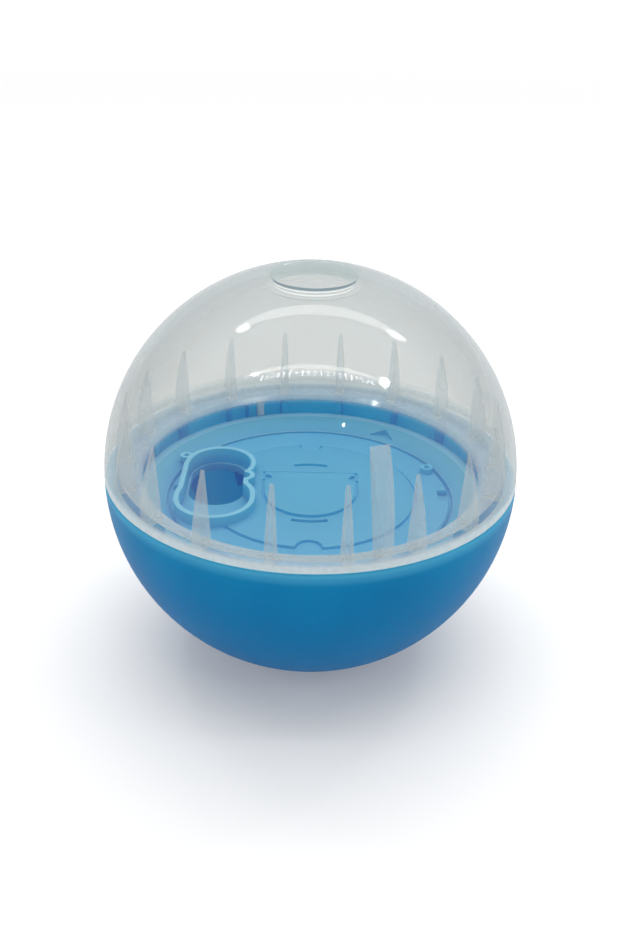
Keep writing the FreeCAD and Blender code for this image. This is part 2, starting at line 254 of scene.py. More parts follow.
@dataclass
class Piece:
    """A mesh in the making, with the body that it rides on and its place in the record."""

    name: str
    part: Part
    slot: Slot
    mesh: Mesh = field(default_factory=bmesh.new)

    def turned(self, section: Section) -> "Piece":
        """Adds a solid made by spinning a closed section about the ball's axis.

        Args:
            section: Points as distance from the axis and height, in millimetres.

        Returns:
            The piece itself.
        """
        points = [self.mesh.verts.new((r, 0.0, z)) for r, z in section]
        edges = [self.mesh.edges.new(pair) for pair in zip(points, points[1:] + points[:1])]
        bmesh.ops.spin(
            self.mesh, geom=points + edges, cent=(0, 0, 0), axis=(0, 0, 1), angle=math.tau,
            steps=TURN_STEPS, use_merge=True,
        )
        bmesh.ops.remove_doubles(self.mesh, verts=self.mesh.verts[:], dist=WELD)
        bmesh.ops.recalc_face_normals(self.mesh, faces=self.mesh.faces[:])
        return self

    def ring(self, radius: float, height: float) -> list[bmesh.types.BMEdge]:
        """Finds the edges that run round the axis at a place.

        Args:
            radius: Their distance from the axis, in millimetres.
            height: Their height.

        Returns:
            The edges.
        """
        def near(v: bmesh.types.BMVert) -> bool:
            """Says whether a point lies on the ring."""
            return abs(math.hypot(v.co.x, v.co.y) - radius) < PICK and abs(v.co.z - height) < PICK
        return [e for e in self.mesh.edges if near(e.verts[0]) and near(e.verts[1])]

    def rounded_rings(self, rings: Iterable[tuple[float, float, float]]) -> "Piece":
        """Rounds ring edges, each given as radius, height and size of the round."""
        for radius, height, size in rings:
            rounded(self.mesh, self.ring(radius, height), size)
        return self

    def joined(self, others: Iterable[Mesh]) -> "Piece":
        """Adds copies of other meshes and frees them.

        Args:
            others: The meshes, in millimetres.

        Returns:
            The piece itself.
        """
        for other in others:
            holder = bpy.data.meshes.new("joining")
            other.to_mesh(holder)
            self.mesh.from_mesh(holder)
            other.free()
            bpy.data.meshes.remove(holder)
        return self

    def finished(self, *materials: bpy.types.Material, replaces: bool = False) -> bpy.types.Object:
        """Raises the mesh onto the foot, turns it to metres and hands it to the frame.

        Args:
            materials: The piece's finishes, in the order of its faces' material numbers.
            replaces: True if the piece stands for its part's CAD node.

        Returns:
            The finished object.
        """
        lift = Matrix.Translation((0, 0, BALL.centre))
        bmesh.ops.transform(self.mesh, matrix=Matrix.Scale(MM, 4) @ lift, verts=self.mesh.verts[:])
        for face in self.mesh.faces:
            face.smooth = True
        for edge in self.mesh.edges:
            if len(edge.link_faces) == 2 and edge.calc_face_angle() > math.radians(SHARP):
                edge.smooth = False
        data = bpy.data.meshes.new(self.name)
        self.mesh.to_mesh(data)
        self.mesh.free()
        for material in materials:
            data.materials.append(material)
        piece = bpy.data.objects.new(self.name, data)
        bpy.context.scene.collection.objects.link(piece)
        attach(piece, self.part.value)
        if replaces:
            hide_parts(self.part.value)
        LOG.info("%s: %d faces on %s", self.name, len(data.polygons), self.part.value)
        return piece


@dataclass(frozen=True)
class Grain:
    """A noise pattern: its scale per metre, its octaves, and a factor on heights that draws it out."""

    scale: float
    detail: float
    upright: float = 1.0


def node_tree(name: str) -> tuple[bpy.types.Material, Tree, bpy.types.Node]:
    """Makes a material with nothing but its output.

    Args:
        name: The material's name.

    Returns:
        The material, its tree and its output node.
    """
    material = bpy.data.materials.new(name)
    material.use_nodes = True
    material.node_tree.nodes.clear()
    return material, material.node_tree, material.node_tree.nodes.new("ShaderNodeOutputMaterial")


def height_of(tree: Tree) -> Socket:
    """Height of the shaded point above the foot, in metres, from its Object coordinates."""
    where = tree.nodes.new("ShaderNodeTexCoord")
    place = tree.nodes.new("ShaderNodeSeparateXYZ")
    tree.links.new(where.outputs["Object"], place.inputs["Vector"])
    return place.outputs["Z"]


def noise(tree: Tree, grain: Grain) -> Socket:
    """Noise on Object coordinates.

    Args:
        tree: The tree that gets the nodes.
        grain: The pattern.

    Returns:
        The noise's value.
    """
    where = tree.nodes.new("ShaderNodeTexCoord")
    mapping = tree.nodes.new("ShaderNodeMapping")
    mapping.inputs["Scale"].default_value = (1.0, 1.0, grain.upright)
    texture = tree.nodes.new("ShaderNodeTexNoise")
    texture.inputs["Scale"].default_value = grain.scale
    texture.inputs["Detail"].default_value = grain.detail
    tree.links.new(where.outputs["Object"], mapping.inputs["Vector"])
    tree.links.new(mapping.outputs["Vector"], texture.inputs["Vector"])
    return texture.outputs["Fac"]


def facing(tree: Tree, blend: float) -> Socket:
    """How slantwise sight meets the surface, from 0 to 1."""
    weight = tree.nodes.new("ShaderNodeLayerWeight")
    weight.inputs["Blend"].default_value = blend
    return weight.outputs["Facing"]


def backfacing(tree: Tree) -> Socket:
    """One where sight leaves the plastic, nothing where it enters."""
    return tree.nodes.new("ShaderNodeNewGeometry").outputs["Backfacing"]


def ranged(tree: Tree, source: Socket, to: Range, between: Range = (0.3, 0.7)) -> Socket:
    """Maps a value from one range to another.

    Args:
        tree: The tree that gets the node.
        source: The value.
        to: What the ends of its range become.
        between: The ends of its range; a noise mostly lies in the one given here.

    Returns:
        The new value.
    """
    node = tree.nodes.new("ShaderNodeMapRange")
    node.inputs["From Min"].default_value, node.inputs["From Max"].default_value = between
    node.inputs["To Min"].default_value, node.inputs["To Max"].default_value = to
    tree.links.new(source, node.inputs["Value"])
    return node.outputs["Result"]


def maths(tree: Tree, operation: str, first: Socket, second: "Socket | float") -> Socket:
    """Joins a value and a second one by a Math node.

    Args:
        tree: The tree that gets the node.
        operation: The node's operation.
        first: The first value.
        second: The second value, or a number.

    Returns:
        The new value.
    """
    node = tree.nodes.new("ShaderNodeMath")
    node.operation = operation
    tree.links.new(first, node.inputs[0])
    if isinstance(second, float):
        node.inputs[1].default_value = second
    else:
        tree.links.new(second, node.inputs[1])
    return node.outputs["Value"]


def blended(tree: Tree, share: Socket, first: "Socket | Colour", second: "Socket | Colour") -> Socket:
    """Mixes two colours.

    Args:
        tree: The tree that gets the node.
        share: Share of the second colour.
        first: The first colour, worked out or fixed.
        second: The second colour, worked out or fixed.

    Returns:
        The mixed colour.
    """
    node = tree.nodes.new("ShaderNodeMix")
    node.data_type = "RGBA"
    tree.links.new(share, node.inputs["Factor"])
    for name, colour in (("A", first), ("B", second)):
        if isinstance(colour, tuple):
            node.inputs[name].default_value = (*colour, 1.0)
        else:
            tree.links.new(colour, node.inputs[name])
    return node.outputs["Result"]


def mixed(tree: Tree, share: "Socket | float", first: Socket, second: Socket) -> Socket:
    """Mixes two shaders.

    Args:
        tree: The tree that gets the node.
        share: Share of the second shader, worked out or fixed.
        first: The first shader.
        second: The second shader.

    Returns:
        The mixed shader.
    """
    node = tree.nodes.new("ShaderNodeMixShader")
    if isinstance(share, float):
        node.inputs["Fac"].default_value = share
    else:
        tree.links.new(share, node.inputs["Fac"])
    tree.links.new(first, node.inputs[1])
    tree.links.new(second, node.inputs[2])
    return node.outputs["Shader"]


@dataclass(frozen=True)
class BluePlastic:
    """Pigmented moulded plastic with slight mottling, a fine skin and painted light that shifts its
    colour by height.
    """

    name: str
    light: Colour
    dark: Colour
    glow: Colour
    glow_share: float
    roughness: Range
    skin: float
    specular: float
    # Painted light: the colour that the surface shifts to between two heights
    painted_light_colour: Colour
    painted_light_heights: Range
    ior: float = 1.49
    skin_depth: float = 0.00005
    mottle: Grain = Grain(60.0, 3.0, 0.6)
    wear: Grain = Grain(350.0, 4.0)
    texture: Grain = Grain(1800.0, 2.0)

    def make(self) -> bpy.types.Material:
        """Builds the material.

        Returns:
            The material.
        """
        material, tree, output = node_tree(self.name)
        shader = tree.nodes.new("ShaderNodeBsdfPrincipled")
        shader.inputs["IOR"].default_value = self.ior
        shader.inputs["Specular IOR Level"].default_value = self.specular
        mottled = blended(tree, ranged(tree, noise(tree, self.mottle), UNIT), self.dark, self.light)
        # The base colour carries the painted light by height
        tree.links.new(self.with_painted_light(tree, mottled), shader.inputs["Base Color"])
        tree.links.new(ranged(tree, noise(tree, self.wear), self.roughness), shader.inputs["Roughness"])
        bump = tree.nodes.new("ShaderNodeBump")
        bump.inputs["Strength"].default_value = self.skin
        bump.inputs["Distance"].default_value = self.skin_depth
        tree.links.new(noise(tree, self.texture), bump.inputs["Height"])
        tree.links.new(bump.outputs["Normal"], shader.inputs["Normal"])
        through = tree.nodes.new("ShaderNodeBsdfTranslucent")
        through.inputs["Color"].default_value = (*self.glow, 1.0)
        body = mixed(tree, self.glow_share, shader.outputs["BSDF"], through.outputs["BSDF"])
        tree.links.new(body, output.inputs["Surface"])
        return material

    def with_painted_light(self, tree: Tree, base: Socket) -> Socket:
        """Painted light: shifts a colour towards a second one between two heights; on the bowl it stands
        for the thin top of the wall letting more light through.
        """
        low, high = (BALL.raised(height) for height in self.painted_light_heights)
        return blended(tree, ranged(tree, height_of(tree), UNIT, (low, high)), base, self.painted_light_colour)


@dataclass(frozen=True)
class ClearPlastic:
    """Clear plastic with a milky haze, denser edge on and in the thick corner at the seam."""

    name: str
    entering: Colour
    leaving: Colour
    milk: Colour
    haze: Range
    shine_range: Range
    gloss_roughness: float
    grazing: float = 1.0
    corner_haze: float = 0.0
    corner_low: float = -0.7
    corner_top: float = 1.4
    corner_fade: float = 0.5
    # Painted highlights: level strips that raise the clear tint where sight leaves the plastic
    painted_highlight_bands: tuple[Range, ...] = ()
    painted_highlight_gain: float = 0.0
    painted_highlight_fade: float = 0.3
    rough_spread: float = 1.4
    slant_blend: float = 0.5
    slant: Range = (0.3, 0.65)
    haze_blend: float = 0.35
    steepness: float = 5.0
    behind_share: float = 0.35
    smear: Grain = Grain(120.0, 3.0, 0.5)
    mottle: Grain = Grain(70.0, 3.0)
    mottle_range: Range = (0.85, 1.15)
    speckle: Grain = Grain(900.0, 2.0)
    speckle_range: Range = (0.9, 1.05)

    def make(self) -> bpy.types.Material:
        """Builds the material.

        Returns:
            The material.
        """
        material, tree, output = node_tree(self.name)
        body = mixed(tree, self.amount(tree), self.see_through(tree), self.cloud(tree))
        gloss = tree.nodes.new("ShaderNodeBsdfGlossy")
        roughness = (self.gloss_roughness, self.rough_spread * self.gloss_roughness)
        tree.links.new(ranged(tree, noise(tree, self.smear), roughness), gloss.inputs["Roughness"])
        skin = mixed(tree, self.shine(tree), body, gloss.outputs["BSDF"])
        tree.links.new(skin, output.inputs["Surface"])
        return material

    def band(self, tree: Tree, low: float, high: float) -> Socket:
        """A level band round the piece, where a painted highlight goes.

        Args:
            tree: The tree that gets the nodes.
            low: Height of its bottom above the ball's centre, in millimetres.
            high: Height of its top.

        Returns:
            One inside the band, fading to nothing at its edges.
        """
        height = height_of(tree)
        bottom, top = BALL.raised(low), BALL.raised(high)
        fade = self.painted_highlight_fade * (top - bottom)
        rise = ranged(tree, height, UNIT, (bottom, bottom + fade))
        fall = ranged(tree, height, (1.0, 0.0), (top - fade, top))
        return maths(tree, "MULTIPLY", rise, fall)

    def see_through(self, tree: Tree) -> Socket:
        """Clear part, dimmer where sight leaves the shell or runs slantwise, brightened by painted
        highlights in level strips.

        Args:
            tree: The tree that gets the nodes.

        Returns:
            The transparent shader.
        """
        leaves = backfacing(tree)
        dimmed = tree.nodes.new("ShaderNodeVectorMath")
        dimmed.operation = "SCALE"
        tree.links.new(blended(tree, leaves, self.entering, self.leaving), dimmed.inputs["Vector"])
        scale = ranged(tree, facing(tree, self.slant_blend), (1.0, self.grazing), self.slant)
        # Painted highlight: the level strips raise the clear tint where sight leaves
        for low, high in self.painted_highlight_bands:
            highlight_share = maths(tree, "MULTIPLY", self.band(tree, low, high), leaves)
            scale = maths(tree, "ADD", scale, maths(tree, "MULTIPLY", highlight_share, self.painted_highlight_gain))
        tree.links.new(scale, dimmed.inputs["Scale"])
        clear = tree.nodes.new("ShaderNodeBsdfTransparent")
        tree.links.new(dimmed.outputs["Vector"], clear.inputs["Color"])
        return clear.outputs["BSDF"]

    def shine(self, tree: Tree) -> Socket:
        """Share of light that a face mirrors outside the plastic."""
        steep = maths(tree, "POWER", facing(tree, self.slant_blend), self.steepness)
        outside = ranged(tree, backfacing(tree), (1.0, 0.0), UNIT)
        return maths(tree, "MULTIPLY", ranged(tree, steep, self.shine_range, UNIT), outside)

    def cloud(self, tree: Tree) -> Socket:
        """Milk in the plastic: most of it shows the light in front, the rest the light behind.

        Args:
            tree: The tree that gets the nodes.

        Returns:
            The milk's shader.
        """
        front = tree.nodes.new("ShaderNodeBsdfDiffuse")
        front.inputs["Color"].default_value = (*self.milk, 1.0)
        behind = tree.nodes.new("ShaderNodeBsdfTranslucent")
        behind.inputs["Color"].default_value = (*self.milk, 1.0)
        return mixed(tree, self.behind_share, front.outputs["BSDF"], behind.outputs["BSDF"])

    def amount(self, tree: Tree) -> Socket:
        """How much milk shows: by angle, with a faint mottle, and more in the corner.

        Args:
            tree: The tree that gets the nodes.

        Returns:
            The milk's share.
        """
        by_angle = ranged(tree, facing(tree, self.haze_blend), self.haze, UNIT)
        mottle = ranged(tree, noise(tree, self.mottle), self.mottle_range)
        height = height_of(tree)
        top, low = BALL.raised(self.corner_top), BALL.raised(self.corner_low)
        fade = self.corner_fade * MM
        upper = ranged(tree, height, (self.corner_haze, 0.0), (top - fade, top))
        lower = ranged(tree, height, (0.0, self.corner_haze), (low, low + fade))
        speckle = ranged(tree, noise(tree, self.speckle), self.speckle_range)
        corner = maths(tree, "MULTIPLY", maths(tree, "MINIMUM", upper, lower), speckle)
        return maths(tree, "MAXIMUM", maths(tree, "MULTIPLY", by_angle, mottle), corner)


@dataclass
class Dome:
    """Clear upper half: wall with the treat hole, ribs, guide bar and skirt keys."""

    finishes: dict[DomeSkin, ClearPlastic]
    rib_finish: ClearPlastic
    outer_points: int = 64
    inner_points: int = 56
    hole_outer: float = 8.0
    hole_inner: float = 7.1
    hole_round: float = 0.9
    lip_depth: float = 0.35
    edge_depth: float = 0.65
    neck_depth: float = 2.6
    neck_wall: float = 1.6
    neck_inner_round: float = 0.35
    neck_outer_round: float = 0.3
    neck_margin: float = 0.1
    neck_reach: float = 1.0
    seam_round: float = 0.2
    ledge_top: float = 0.6
    ledge_thickness: float = 1.4
    ledge_width: float = 2.2
    ledge_round: float = 0.6
    corner_rise: float = 2.4
    skirt_outer: float = 34.0
    skirt_wall: float = 1.2
    skirt_depth: float = 3.0
    skirt_chamfer: float = 0.8
    skirt_round: float = 0.3
    plug_fit: float = 0.15
    sunk: float = 0.3
    sunk_foot: float = 0.2
    rib_points: int = 8
    rib_height: float = 14.2
    rib_depth: float = 3.3
    rib_draft: float = 0.7
    rib_foot: float = 1.7
    rib_tip: float = 0.8
    rib_round: float = 0.35
    rib_margin: float = 0.2
    bar_points: int = 10
    bar_depth: float = 5.8
    bar_lean: float = 1.8
    bar_foot: float = 1.8
    bar_tip: float = 3.6
    bar_round: float = 0.3
    bar_margin: float = 0.4
    key_width: float = 1.4
    key_reach: float = 1.1
    key_round: float = 0.2
    key_margin: float = 0.1
    outside_depth: float = 0.3

    def build(self) -> None:
        """Builds and dresses the dome's pieces."""
        skins = [self.finishes[skin].make() for skin in DomeSkin]
        self.dress(self.shell().finished(*skins, replaces=True).data)
        rib = self.rib_finish.make()
        for piece in (self.ribs(), self.guide_bar(), self.keys()):
            piece.finished(rib)

    def dress(self, mesh: bpy.types.Mesh) -> None:
        """Gives the inside, the hole's rounded lip, the edge under it and its neck their own materials;
        the edge carries a painted shade and the neck painted highlights.

        Args:
            mesh: The finished shell's mesh.
        """
        skin = (BALL.radius - self.outside_depth) * MM
        top = BALL.raised(on_sphere(BALL.radius, self.hole_outer))
        neck_radius = (self.hole_inner + self.neck_wall + self.neck_margin) * MM
        for face in mesh.polygons:
            place = face.center
            depth = (top - place.z) / MM
            if math.hypot(place.x, place.y) >= neck_radius or depth >= self.neck_depth + self.neck_reach:
                inside = (place - BALL.middle()).length < skin
                face.material_index = DomeSkin.INSIDE if inside else DomeSkin.WALL
            elif depth < self.lip_depth:
                face.material_index = DomeSkin.LIP
            else:
                in_edge = depth - self.lip_depth < self.edge_depth
                face.material_index = DomeSkin.EDGE if in_edge else DomeSkin.NECK

    def shell(self) -> Piece:
        """Turns the wall, hole, ledge and skirt from one section.

        Returns:
            The shell.
        """
        edge = BALL.seam + BALL.seam_gap
        plug = BALL.inner - self.plug_fit
        ledge_bottom = self.ledge_top - self.ledge_thickness
        skirt_bottom = ledge_bottom - self.skirt_depth
        skirt_inner = self.skirt_outer - self.skirt_wall
        hole_top = on_sphere(BALL.radius, self.hole_outer)
        neck_outer = self.hole_inner + self.neck_wall
        neck_bottom = hole_top - self.neck_depth
        corner_top = self.ledge_top + self.corner_rise
        ledge_outer = self.skirt_outer + self.ledge_width
        edge_low = hole_top - self.lip_depth - self.edge_depth
        slope = (self.hole_outer - self.hole_inner) / self.neck_depth
        section = sphere_points(BALL.radius, edge, hole_top, self.outer_points)
        section += [(self.hole_inner + slope * (edge_low - neck_bottom), edge_low)]
        section += [(self.hole_inner, neck_bottom), (neck_outer, neck_bottom)]
        section += sphere_points(BALL.inner, on_sphere(BALL.inner, neck_outer), corner_top,
                                 self.inner_points)
        section += [
            (ledge_outer, self.ledge_top),
            (skirt_inner + self.skirt_chamfer, self.ledge_top),
            (skirt_inner, self.ledge_top - self.skirt_chamfer),
            (skirt_inner, skirt_bottom),
            (self.skirt_outer, skirt_bottom),
            (self.skirt_outer, ledge_bottom),
            (plug, ledge_bottom),
            (plug, edge),
        ]
        return Piece("dome_shell", Part.DOME, Slot.CLEAR).turned(section).rounded_rings([
            (self.hole_outer, hole_top, self.hole_round),
            (self.hole_inner, neck_bottom, self.neck_inner_round),
            (neck_outer, neck_bottom, self.neck_outer_round),
            (on_sphere(BALL.radius, edge), edge, self.seam_round),
            (ledge_outer, self.ledge_top, self.ledge_round),
            (skirt_inner, skirt_bottom, self.skirt_round),
            (self.skirt_outer, skirt_bottom, self.skirt_round),
        ])

    def against_wall(self, top: float, count: int) -> list[tuple[float, float]]:
        """Outline of a rib's back, sunk into the wall from its top down to its foot in the ledge.

        Args:
            top: Height of the rib's top, in millimetres.
            count: Number of points along the wall.

        Returns:
            The points as distance from the axis and height.
        """
        wall = sphere_points(BALL.inner, top, self.ledge_top, count)
        return [(r + self.sunk, z) for r, z in wall] + [(BALL.inner + self.sunk_foot, self.rib_low)]

    @property
    def rib_low(self) -> float:
        """Height of the foot of the ribs and the bar, sunk into the ledge."""
        return self.ledge_top - self.sunk

    def ribs(self) -> Piece:
        """Gusset ribs between the ledge and the wall, thinner towards the tip.

        Returns:
            The ribs.
        """
        foot = BALL.inner - self.rib_depth
        tip = foot + self.rib_draft
        low, high = self.rib_low, self.ledge_top + self.rib_height
        outline = [(foot, low), (tip, high), *self.against_wall(high, self.rib_points)]

        def thickness(height: float) -> float:
            """Gives the rib's thickness at a height."""
            return self.rib_foot + (self.rib_tip - self.rib_foot) * (height - low) / (high - low)

        blades = [blade(outline, thickness, a, self.rib_round, lambda p: p.x < tip + self.rib_margin)
                  for a in BALL.rib_azimuths()]
        return Piece("dome_ribs", Part.DOME, Slot.CLEAR).joined(blades)

    def guide_bar(self) -> Piece:
        """Broad bar at the front key, wider and leaning in towards its top.

        Returns:
            The bar.
        """
        inner = BALL.inner - self.bar_depth
        top = on_sphere(BALL.inner, inner)
        low = self.rib_low
        outline = [(inner + self.bar_lean, low), *self.against_wall(top, self.bar_points)]

        def thickness(height: float) -> float:
            """Gives the bar's width at a height."""
            return self.bar_foot + (self.bar_tip - self.bar_foot) * (height - low) / (top - low)

        def free(point: Vector) -> bool:
            """Says whether a point lies on the bar's free side."""
            return point.x < inner + self.bar_lean * (top - point.z) / (top - low) + self.bar_margin

        bar = blade(outline, thickness, BALL.key_azimuths[0], self.bar_round, free)
        return Piece("dome_guide_bar", Part.DOME, Slot.CLEAR).joined([bar])

    def keys(self) -> Piece:
        """The two keys on the skirt.

        Returns:
            The keys.
        """
        top = self.ledge_top - self.ledge_thickness
        low = top - self.skirt_depth
        near, far = self.skirt_outer - self.skirt_wall / 2, self.skirt_outer + self.key_reach
        outline = [(near, low), (far, low), (far, top), (near, top)]
        keys = [blade(outline, lambda _: self.key_width, a, self.key_round,
                      lambda p: p.x > near + self.key_margin) for a in BALL.key_azimuths]
        return Piece("dome_keys", Part.DOME, Slot.CLEAR).joined(keys)


@dataclass
class Bowl:
    """Blue lower half: smooth wall, flat foot, stepped ribs and key sockets inside."""

    finish: BluePlastic
    # Painted light: lighter blue for the inside of the wall
    painted_light_inner_finish: BluePlastic
    # Painted light: lighter blue for the ribs and sockets
    rib_finish: BluePlastic
    outer_points: int = 80
    inner_points: int = 72
    rim_round: float = 1.1
    rim_inner_round: float = 0.3
    foot_round: float = 0.5
    outside_depth: float = 0.3
    sunk: float = 0.3
    sunk_block: float = 0.2
    rib_points: int = 12
    rib_thickness: float = 1.4
    rib_top: float = -0.95
    rib_round: float = 0.2
    rib_margin: float = 0.1
    rib_rise: float = 0.5
    shelf_radius: float = 32.2
    shelf_height: float = -5.9
    socket_radius: float = 34.15
    socket_wall: float = 1.6
    key_slot: float = 1.8
    key_slot_end: float = 35.3

    def build(self) -> None:
        """Builds and dresses the bowl's pieces."""
        shell = self.shell().finished(self.finish.make(), self.painted_light_inner_finish.make(), replaces=True)
        # Faces inside the wall take the lighter painted light finish
        floor = (BALL.wall - self.outside_depth) * MM
        for face in shell.data.polygons:
            depth = BALL.radius * MM - (face.center - BALL.middle()).length
            face.material_index = int(depth > self.outside_depth * MM and face.center.z > floor)
        rib = self.rib_finish.make()
        self.ribs().finished(rib)
        self.sockets().finished(rib)

    def shell(self) -> Piece:
        """Turns the wall with its rim and foot from one section.

        Returns:
            The shell.
        """
        floor = BALL.wall - BALL.centre
        section = [(0.0, -BALL.centre)]
        section += sphere_points(BALL.radius, -BALL.centre, BALL.seam, self.outer_points)
        section += sphere_points(BALL.inner, BALL.seam, floor, self.inner_points)
        section += [(0.0, floor)]
        return Piece("bowl_shell", Part.BOWL, Slot.BOWL).turned(section).rounded_rings([
            (on_sphere(BALL.radius, BALL.seam), BALL.seam, self.rim_round),
            (on_sphere(BALL.inner, BALL.seam), BALL.seam, self.rim_inner_round),
            (BALL.foot_radius, -BALL.centre, self.foot_round),
        ])

    def ribs(self) -> Piece:
        """Stepped ribs that carry the partition and stand under the ledge.

        Returns:
            The ribs.
        """
        low = -on_sphere(BALL.inner, self.shelf_radius)
        wall = sphere_points(BALL.inner, low, self.rib_top, self.rib_points)
        outline = [(self.shelf_radius, low), *((r + self.sunk, z) for r, z in wall)]
        outline += [(self.socket_radius, self.rib_top), (self.socket_radius, self.shelf_height)]
        outline += [(self.shelf_radius, self.shelf_height)]

        def free(point: Vector) -> bool:
            """Says whether a point lies on the rib's free side, above its foot."""
            return point.x < self.socket_radius + self.rib_margin and point.z > low + self.rib_rise

        blades = [blade(outline, lambda _: self.rib_thickness, a, self.rib_round, free)
                  for a in BALL.rib_azimuths()]
        return Piece("bowl_ribs", Part.BOWL, Slot.BOWL).joined(blades)

    def sockets(self) -> Piece:
        """Blocks with an open slot for the skirt's keys.

        Returns:
            The blocks.
        """
        slot, near, back = self.key_slot / 2, self.socket_radius, BALL.inner + self.sunk_block
        half = slot + self.socket_wall
        outline = [(near, -half), (back, -half), (back, half), (near, half), (near, slot)]
        outline += [(self.key_slot_end, slot), (self.key_slot_end, -slot), (near, -slot)]
        blocks = [prism(outline, self.shelf_height, self.rib_top, a, self.rib_round)
                  for a in BALL.key_azimuths]
        return Piece("bowl_sockets", Part.BOWL, Slot.BOWL).joined(blocks)


@dataclass
class Insert:
    """A flat blue moulding taken from its CAD node, with its edges rounded and a painted highlight on
    them and its crest.
    """

    part: Part
    finish: BluePlastic
    painted_highlight_finish: BluePlastic
    edge_round: float
    round_steps: int = 2
    weld: float = 1e-6
    flat_angle: float = 0.5
    edge_angle: float = 35.0
    crest_depth: float = 0.05
    upward: float = 0.9

    def build(self) -> None:
        """Copies the node's mesh and gives its rounded edges and its crest a lighter finish, which is a
        painted highlight.
        """
        mesh = bmesh.new()
        mesh.from_mesh(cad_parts[self.part.value].data)
        bmesh.ops.remove_doubles(mesh, verts=mesh.verts[:], dist=self.weld)
        bmesh.ops.dissolve_degenerate(mesh, edges=mesh.edges[:], dist=self.weld)
        bmesh.ops.dissolve_limit(mesh, angle_limit=math.radians(self.flat_angle), verts=mesh.verts[:],
                                 edges=mesh.edges[:])
        bmesh.ops.recalc_face_normals(mesh, faces=mesh.faces[:])
        outer = [e for e in mesh.edges if e.calc_face_angle_signed(0.0) > math.radians(self.edge_angle)]
        # Painted highlight on the rounded edges
        for face in rounded(mesh, outer, self.edge_round * MM, self.round_steps):
            face.material_index = 1
        # Painted highlight on the crest: the topmost faces that look up
        top = max(vert.co.z for vert in mesh.verts) - self.crest_depth * MM
        for face in mesh.faces:
            if face.normal.z > self.upward and face.calc_center_median().z > top:
                face.material_index = 1
        bmesh.ops.triangulate(mesh, faces=mesh.faces[:])
        lower = Matrix.Translation((0, 0, -BALL.centre)) @ Matrix.Scale(1 / MM, 4)
        bmesh.ops.transform(mesh, matrix=lower, verts=mesh.verts[:])
        piece = Piece(self.part.value + "_moulding", self.part, Slot.INSERT, mesh)
        piece.finished(self.finish.make(), self.painted_highlight_finish.make(), replaces=True)


def aimed(place: Vector, up: Vector) -> Matrix:
    """Turns what looks along its own -Z to face the ball's centre.

    Args:
        place: Where it stands, in metres.
        up: Direction that its +Y leans towards.

    Returns:
        Its place and turn.
    """
    back = (place - BALL.middle()).normalized()
    across = up.cross(back).normalized()
    turn = Matrix((across, back.cross(across), back)).transposed().to_4x4()
    return Matrix.Translation(place) @ turn


@dataclass(frozen=True)
class Lamp:
    """An oval area lamp that faces the ball, so that its mirrored ends taper off.

    Place and size (along X, then across) are in metres, power in watts and spin in radians about
    the lamp's own axis.
    """

    name: str
    place: tuple[float, float, float]
    size: tuple[float, float]
    power: float
    seen: Seen = Seen.BOTH
    spin: float = 0.0

    def hang(self) -> None:
        """Adds the lamp to the scene."""
        data = bpy.data.lights.new(self.name, "AREA")
        data.shape = "ELLIPSE"
        data.size, data.size_y = self.size
        data.energy = self.power
        lamp = bpy.data.objects.new(self.name, data)
        spin = Matrix.Rotation(self.spin, 4, "Z")
        lamp.matrix_world = aimed(Vector(self.place), Vector((0, 1, 0))) @ spin
        lamp.visible_glossy = self.seen is not Seen.NOT_MIRRORED
        lamp.visible_diffuse = self.seen is not Seen.ONLY_MIRRORED
        bpy.context.scene.collection.objects.link(lamp)


